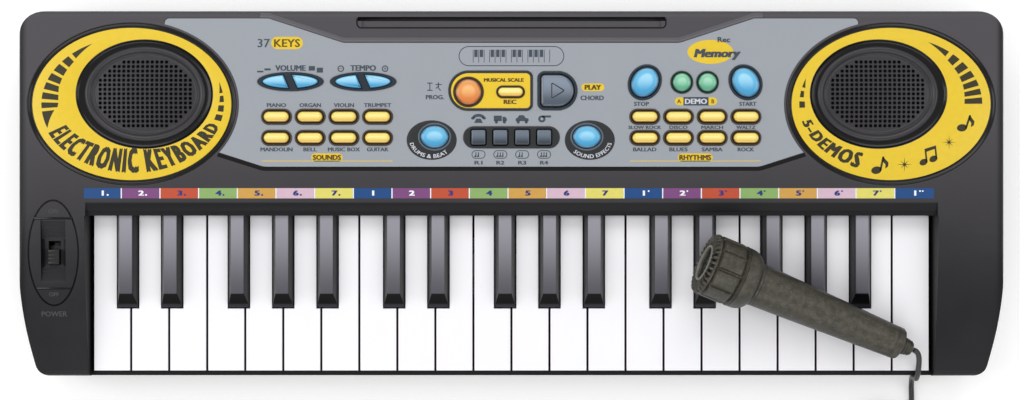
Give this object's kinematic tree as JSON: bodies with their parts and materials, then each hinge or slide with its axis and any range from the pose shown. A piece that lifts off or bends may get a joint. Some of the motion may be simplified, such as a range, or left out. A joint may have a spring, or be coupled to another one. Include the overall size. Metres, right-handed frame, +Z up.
{
  "type": "toy electronic keyboard",
  "caption": "Battery-powered toy electronic keyboard with piano keys, coloured push buttons, two speakers, a power slide switch and a corded hand microphone resting on the keys.",
  "frame": {"origin": "centre of the case in plan, on the surface that its feet stand on", "axes": "+X along the keys towards the high notes, +Y to the back, +Z up"},
  "size_m": [0.542, 0.2687, 0.0768],
  "materials": {
    "case_plastic": "satin dark grey with a fine grain",
    "panel_grey": "satin blue-grey print",
    "grille_black": "satin",
    "speaker_metal": "satin",
    "board_green": "satin solder mask",
    "contact_rubber": "matt",
    "cell_steel": "satin",
    "screw_steel": "satin",
    "switch_black": "satin",
    "button_yellow": "gloss",
    "button_blue": "gloss",
    "button_green": "gloss",
    "button_slate": "gloss",
    "button_orange": "gloss",
    "key_white": "gloss ivory white",
    "key_black": "gloss",
    "microphone_plastic": "matt, finely speckled",
    "cord_rubber": "satin",
    "plug_black": "satin"
  },
  "bodies": {
    "case": {"top_case": "case_plastic", "bottom_case": "case_plastic", "control_panel": "panel_grey", "speaker_grilles": "grille_black", "speakers": "speaker_metal", "circuit_boards": "board_green", "rubber_contacts": "contact_rubber", "batteries_and_contacts": "cell_steel", "screws": "screw_steel", "microphone_cord": "cord_rubber", "cord_coil": "cord_rubber", "microphone_plug": "plug_black"},
    "battery_door": {"battery_door": "case_plastic"},
    "power_switch": {"power_switch": "switch_black"},
    "microphone": {"microphone_head": "microphone_plastic", "microphone_handle": "microphone_plastic"},
    "sound_buttons": {"sound_buttons": "button_yellow"},
    "rhythm_buttons": {"rhythm_buttons": "button_yellow"},
    "volume_tempo_buttons": {"volume_tempo_buttons": "button_blue"},
    "round_blue_buttons": {"round_blue_buttons": "button_blue"},
    "demo_buttons": {"demo_buttons": "button_green"},
    "pad_play_buttons": {"pad_play_buttons": "button_slate"},
    "record_buttons": {"record_buttons": "button_orange"},
    "white_key_c_1": {"white_key_c_1": "key_white"},
    "white_key_d_1": {"white_key_d_1": "key_white"},
    "white_key_e_1": {"white_key_e_1": "key_white"},
    "white_key_f_1": {"white_key_f_1": "key_white"},
    "white_key_g_1": {"white_key_g_1": "key_white"},
    "white_key_a_1": {"white_key_a_1": "key_white"},
    "white_key_b_1": {"white_key_b_1": "key_white"},
    "white_key_c_2": {"white_key_c_2": "key_white"},
    "white_key_d_2": {"white_key_d_2": "key_white"},
    "white_key_e_2": {"white_key_e_2": "key_white"},
    "white_key_f_2": {"white_key_f_2": "key_white"},
    "white_key_g_2": {"white_key_g_2": "key_white"},
    "white_key_a_2": {"white_key_a_2": "key_white"},
    "white_key_b_2": {"white_key_b_2": "key_white"},
    "white_key_c_3": {"white_key_c_3": "key_white"},
    "white_key_d_3": {"white_key_d_3": "key_white"},
    "white_key_e_3": {"white_key_e_3": "key_white"},
    "white_key_f_3": {"white_key_f_3": "key_white"},
    "white_key_g_3": {"white_key_g_3": "key_white"},
    "white_key_a_3": {"white_key_a_3": "key_white"},
    "white_key_b_3": {"white_key_b_3": "key_white"},
    "white_key_c_4": {"white_key_c_4": "key_white"},
    "black_key_c_sharp_1": {"black_key_c_sharp_1": "key_black"},
    "black_key_d_sharp_1": {"black_key_d_sharp_1": "key_black"},
    "black_key_f_sharp_1": {"black_key_f_sharp_1": "key_black"},
    "black_key_g_sharp_1": {"black_key_g_sharp_1": "key_black"},
    "black_key_a_sharp_1": {"black_key_a_sharp_1": "key_black"},
    "black_key_c_sharp_2": {"black_key_c_sharp_2": "key_black"},
    "black_key_d_sharp_2": {"black_key_d_sharp_2": "key_black"},
    "black_key_f_sharp_2": {"black_key_f_sharp_2": "key_black"},
    "black_key_g_sharp_2": {"black_key_g_sharp_2": "key_black"},
    "black_key_a_sharp_2": {"black_key_a_sharp_2": "key_black"},
    "black_key_c_sharp_3": {"black_key_c_sharp_3": "key_black"},
    "black_key_d_sharp_3": {"black_key_d_sharp_3": "key_black"},
    "black_key_f_sharp_3": {"black_key_f_sharp_3": "key_black"},
    "black_key_g_sharp_3": {"black_key_g_sharp_3": "key_black"},
    "black_key_a_sharp_3": {"black_key_a_sharp_3": "key_black"}
  },
  "joints": [
    {"name": "battery_door_hinge", "type": "hinge", "parent": "case", "child": "battery_door", "pos_m": [0, 0.0765, 0.0044], "axis": [1, 0, 0], "range_deg": [0, 100]},
    {"name": "power_switch_slide", "type": "slide", "parent": "case", "child": "power_switch", "axis": [0, 1, 0], "range_m": [0, 0.0045]},
    {"name": "microphone_lift", "type": "slide", "parent": "case", "child": "microphone", "axis": [0, 0, 1], "range_m": [0, 0.06]},
    {"name": "sound_buttons_press", "type": "slide", "parent": "case", "child": "sound_buttons", "axis": [0, 0, -1], "range_m": [0, 0.0012], "stiffness_N_per_m": 200, "springref_m": -0.0015, "deforming": ["rubber_contacts"]},
    {"name": "rhythm_buttons_press", "type": "slide", "parent": "case", "child": "rhythm_buttons", "axis": [0, 0, -1], "range_m": [0, 0.0012], "stiffness_N_per_m": 200, "springref_m": -0.0015, "deforming": ["rubber_contacts"]},
    {"name": "volume_tempo_buttons_press", "type": "slide", "parent": "case", "child": "volume_tempo_buttons", "axis": [0, 0, -1], "range_m": [0, 0.0012], "stiffness_N_per_m": 200, "springref_m": -0.0015, "deforming": ["rubber_contacts"]},
    {"name": "round_blue_buttons_press", "type": "slide", "parent": "case", "child": "round_blue_buttons", "axis": [0, 0, -1], "range_m": [0, 0.0012], "stiffness_N_per_m": 200, "springref_m": -0.0015, "deforming": ["rubber_contacts"]},
    {"name": "demo_buttons_press", "type": "slide", "parent": "case", "child": "demo_buttons", "axis": [0, 0, -1], "range_m": [0, 0.0012], "stiffness_N_per_m": 200, "springref_m": -0.0015, "deforming": ["rubber_contacts"]},
    {"name": "pad_play_buttons_press", "type": "slide", "parent": "case", "child": "pad_play_buttons", "axis": [0, 0, -1], "range_m": [0, 0.0012], "stiffness_N_per_m": 200, "springref_m": -0.0015, "deforming": ["rubber_contacts"]},
    {"name": "record_buttons_press", "type": "slide", "parent": "case", "child": "record_buttons", "axis": [0, 0, -1], "range_m": [0, 0.0012], "stiffness_N_per_m": 200, "springref_m": -0.0015, "deforming": ["rubber_contacts"]},
    {"name": "white_key_c_1_press", "type": "hinge", "parent": "case", "child": "white_key_c_1", "pos_m": [0, 0.018, 0.03], "axis": [1, 0, 0], "range_deg": [0, 2.5], "stiffness_Nm_per_rad": 0.3, "springref_deg": -5.73, "deforming": ["rubber_contacts"]},
    {"name": "white_key_d_1_press", "type": "hinge", "parent": "case", "child": "white_key_d_1", "pos_m": [0, 0.018, 0.03], "axis": [1, 0, 0], "range_deg": [0, 2.5], "stiffness_Nm_per_rad": 0.3, "springref_deg": -5.73, "deforming": ["rubber_contacts"]},
    {"name": "white_key_e_1_press", "type": "hinge", "parent": "case", "child": "white_key_e_1", "pos_m": [0, 0.018, 0.03], "axis": [1, 0, 0], "range_deg": [0, 2.5], "stiffness_Nm_per_rad": 0.3, "springref_deg": -5.73, "deforming": ["rubber_contacts"]},
    {"name": "white_key_f_1_press", "type": "hinge", "parent": "case", "child": "white_key_f_1", "pos_m": [0, 0.018, 0.03], "axis": [1, 0, 0], "range_deg": [0, 2.5], "stiffness_Nm_per_rad": 0.3, "springref_deg": -5.73, "deforming": ["rubber_contacts"]},
    {"name": "white_key_g_1_press", "type": "hinge", "parent": "case", "child": "white_key_g_1", "pos_m": [0, 0.018, 0.03], "axis": [1, 0, 0], "range_deg": [0, 2.5], "stiffness_Nm_per_rad": 0.3, "springref_deg": -5.73, "deforming": ["rubber_contacts"]},
    {"name": "white_key_a_1_press", "type": "hinge", "parent": "case", "child": "white_key_a_1", "pos_m": [0, 0.018, 0.03], "axis": [1, 0, 0], "range_deg": [0, 2.5], "stiffness_Nm_per_rad": 0.3, "springref_deg": -5.73, "deforming": ["rubber_contacts"]},
    {"name": "white_key_b_1_press", "type": "hinge", "parent": "case", "child": "white_key_b_1", "pos_m": [0, 0.018, 0.03], "axis": [1, 0, 0], "range_deg": [0, 2.5], "stiffness_Nm_per_rad": 0.3, "springref_deg": -5.73, "deforming": ["rubber_contacts"]},
    {"name": "white_key_c_2_press", "type": "hinge", "parent": "case", "child": "white_key_c_2", "pos_m": [0, 0.018, 0.03], "axis": [1, 0, 0], "range_deg": [0, 2.5], "stiffness_Nm_per_rad": 0.3, "springref_deg": -5.73, "deforming": ["rubber_contacts"]},
    {"name": "white_key_d_2_press", "type": "hinge", "parent": "case", "child": "white_key_d_2", "pos_m": [0, 0.018, 0.03], "axis": [1, 0, 0], "range_deg": [0, 2.5], "stiffness_Nm_per_rad": 0.3, "springref_deg": -5.73, "deforming": ["rubber_contacts"]},
    {"name": "white_key_e_2_press", "type": "hinge", "parent": "case", "child": "white_key_e_2", "pos_m": [0, 0.018, 0.03], "axis": [1, 0, 0], "range_deg": [0, 2.5], "stiffness_Nm_per_rad": 0.3, "springref_deg": -5.73, "deforming": ["rubber_contacts"]},
    {"name": "white_key_f_2_press", "type": "hinge", "parent": "case", "child": "white_key_f_2", "pos_m": [0, 0.018, 0.03], "axis": [1, 0, 0], "range_deg": [0, 2.5], "stiffness_Nm_per_rad": 0.3, "springref_deg": -5.73, "deforming": ["rubber_contacts"]},
    {"name": "white_key_g_2_press", "type": "hinge", "parent": "case", "child": "white_key_g_2", "pos_m": [0, 0.018, 0.03], "axis": [1, 0, 0], "range_deg": [0, 2.5], "stiffness_Nm_per_rad": 0.3, "springref_deg": -5.73, "deforming": ["rubber_contacts"]},
    {"name": "white_key_a_2_press", "type": "hinge", "parent": "case", "child": "white_key_a_2", "pos_m": [0, 0.018, 0.03], "axis": [1, 0, 0], "range_deg": [0, 2.5], "stiffness_Nm_per_rad": 0.3, "springref_deg": -5.73, "deforming": ["rubber_contacts"]},
    {"name": "white_key_b_2_press", "type": "hinge", "parent": "case", "child": "white_key_b_2", "pos_m": [0, 0.018, 0.03], "axis": [1, 0, 0], "range_deg": [0, 2.5], "stiffness_Nm_per_rad": 0.3, "springref_deg": -5.73, "deforming": ["rubber_contacts"]},
    {"name": "white_key_c_3_press", "type": "hinge", "parent": "case", "child": "white_key_c_3", "pos_m": [0, 0.018, 0.03], "axis": [1, 0, 0], "range_deg": [0, 2.5], "stiffness_Nm_per_rad": 0.3, "springref_deg": -5.73, "deforming": ["rubber_contacts"]},
    {"name": "white_key_d_3_press", "type": "hinge", "parent": "case", "child": "white_key_d_3", "pos_m": [0, 0.018, 0.03], "axis": [1, 0, 0], "range_deg": [0, 2.5], "stiffness_Nm_per_rad": 0.3, "springref_deg": -5.73, "deforming": ["rubber_contacts"]},
    {"name": "white_key_e_3_press", "type": "hinge", "parent": "case", "child": "white_key_e_3", "pos_m": [0, 0.018, 0.03], "axis": [1, 0, 0], "range_deg": [0, 2.5], "stiffness_Nm_per_rad": 0.3, "springref_deg": -5.73, "deforming": ["rubber_contacts"]},
    {"name": "white_key_f_3_press", "type": "hinge", "parent": "case", "child": "white_key_f_3", "pos_m": [0, 0.018, 0.03], "axis": [1, 0, 0], "range_deg": [0, 2.5], "stiffness_Nm_per_rad": 0.3, "springref_deg": -5.73, "deforming": ["rubber_contacts"]},
    {"name": "white_key_g_3_press", "type": "hinge", "parent": "case", "child": "white_key_g_3", "pos_m": [0, 0.018, 0.03], "axis": [1, 0, 0], "range_deg": [0, 2.5], "stiffness_Nm_per_rad": 0.3, "springref_deg": -5.73, "deforming": ["rubber_contacts"]},
    {"name": "white_key_a_3_press", "type": "hinge", "parent": "case", "child": "white_key_a_3", "pos_m": [0, 0.018, 0.03], "axis": [1, 0, 0], "range_deg": [0, 2.5], "stiffness_Nm_per_rad": 0.3, "springref_deg": -5.73, "deforming": ["rubber_contacts"]},
    {"name": "white_key_b_3_press", "type": "hinge", "parent": "case", "child": "white_key_b_3", "pos_m": [0, 0.018, 0.03], "axis": [1, 0, 0], "range_deg": [0, 2.5], "stiffness_Nm_per_rad": 0.3, "springref_deg": -5.73, "deforming": ["rubber_contacts"]},
    {"name": "white_key_c_4_press", "type": "hinge", "parent": "case", "child": "white_key_c_4", "pos_m": [0, 0.018, 0.03], "axis": [1, 0, 0], "range_deg": [0, 2.5], "stiffness_Nm_per_rad": 0.3, "springref_deg": -5.73, "deforming": ["rubber_contacts"]},
    {"name": "black_key_c_sharp_1_press", "type": "hinge", "parent": "case", "child": "black_key_c_sharp_1", "pos_m": [0, 0.018, 0.03], "axis": [1, 0, 0], "range_deg": [0, 2.2], "stiffness_Nm_per_rad": 0.3, "springref_deg": -5.73, "deforming": ["rubber_contacts"]},
    {"name": "black_key_d_sharp_1_press", "type": "hinge", "parent": "case", "child": "black_key_d_sharp_1", "pos_m": [0, 0.018, 0.03], "axis": [1, 0, 0], "range_deg": [0, 2.2], "stiffness_Nm_per_rad": 0.3, "springref_deg": -5.73, "deforming": ["rubber_contacts"]},
    {"name": "black_key_f_sharp_1_press", "type": "hinge", "parent": "case", "child": "black_key_f_sharp_1", "pos_m": [0, 0.018, 0.03], "axis": [1, 0, 0], "range_deg": [0, 2.2], "stiffness_Nm_per_rad": 0.3, "springref_deg": -5.73, "deforming": ["rubber_contacts"]},
    {"name": "black_key_g_sharp_1_press", "type": "hinge", "parent": "case", "child": "black_key_g_sharp_1", "pos_m": [0, 0.018, 0.03], "axis": [1, 0, 0], "range_deg": [0, 2.2], "stiffness_Nm_per_rad": 0.3, "springref_deg": -5.73, "deforming": ["rubber_contacts"]},
    {"name": "black_key_a_sharp_1_press", "type": "hinge", "parent": "case", "child": "black_key_a_sharp_1", "pos_m": [0, 0.018, 0.03], "axis": [1, 0, 0], "range_deg": [0, 2.2], "stiffness_Nm_per_rad": 0.3, "springref_deg": -5.73, "deforming": ["rubber_contacts"]},
    {"name": "black_key_c_sharp_2_press", "type": "hinge", "parent": "case", "child": "black_key_c_sharp_2", "pos_m": [0, 0.018, 0.03], "axis": [1, 0, 0], "range_deg": [0, 2.2], "stiffness_Nm_per_rad": 0.3, "springref_deg": -5.73, "deforming": ["rubber_contacts"]},
    {"name": "black_key_d_sharp_2_press", "type": "hinge", "parent": "case", "child": "black_key_d_sharp_2", "pos_m": [0, 0.018, 0.03], "axis": [1, 0, 0], "range_deg": [0, 2.2], "stiffness_Nm_per_rad": 0.3, "springref_deg": -5.73, "deforming": ["rubber_contacts"]},
    {"name": "black_key_f_sharp_2_press", "type": "hinge", "parent": "case", "child": "black_key_f_sharp_2", "pos_m": [0, 0.018, 0.03], "axis": [1, 0, 0], "range_deg": [0, 2.2], "stiffness_Nm_per_rad": 0.3, "springref_deg": -5.73, "deforming": ["rubber_contacts"]},
    {"name": "black_key_g_sharp_2_press", "type": "hinge", "parent": "case", "child": "black_key_g_sharp_2", "pos_m": [0, 0.018, 0.03], "axis": [1, 0, 0], "range_deg": [0, 2.2], "stiffness_Nm_per_rad": 0.3, "springref_deg": -5.73, "deforming": ["rubber_contacts"]},
    {"name": "black_key_a_sharp_2_press", "type": "hinge", "parent": "case", "child": "black_key_a_sharp_2", "pos_m": [0, 0.018, 0.03], "axis": [1, 0, 0], "range_deg": [0, 2.2], "stiffness_Nm_per_rad": 0.3, "springref_deg": -5.73, "deforming": ["rubber_contacts"]},
    {"name": "black_key_c_sharp_3_press", "type": "hinge", "parent": "case", "child": "black_key_c_sharp_3", "pos_m": [0, 0.018, 0.03], "axis": [1, 0, 0], "range_deg": [0, 2.2], "stiffness_Nm_per_rad": 0.3, "springref_deg": -5.73, "deforming": ["rubber_contacts"]},
    {"name": "black_key_d_sharp_3_press", "type": "hinge", "parent": "case", "child": "black_key_d_sharp_3", "pos_m": [0, 0.018, 0.03], "axis": [1, 0, 0], "range_deg": [0, 2.2], "stiffness_Nm_per_rad": 0.3, "springref_deg": -5.73, "deforming": ["rubber_contacts"]},
    {"name": "black_key_f_sharp_3_press", "type": "hinge", "parent": "case", "child": "black_key_f_sharp_3", "pos_m": [0, 0.018, 0.03], "axis": [1, 0, 0], "range_deg": [0, 2.2], "stiffness_Nm_per_rad": 0.3, "springref_deg": -5.73, "deforming": ["rubber_contacts"]},
    {"name": "black_key_g_sharp_3_press", "type": "hinge", "parent": "case", "child": "black_key_g_sharp_3", "pos_m": [0, 0.018, 0.03], "axis": [1, 0, 0], "range_deg": [0, 2.2], "stiffness_Nm_per_rad": 0.3, "springref_deg": -5.73, "deforming": ["rubber_contacts"]},
    {"name": "black_key_a_sharp_3_press", "type": "hinge", "parent": "case", "child": "black_key_a_sharp_3", "pos_m": [0, 0.018, 0.03], "axis": [1, 0, 0], "range_deg": [0, 2.2], "stiffness_Nm_per_rad": 0.3, "springref_deg": -5.73, "deforming": ["rubber_contacts"]}
  ]
}
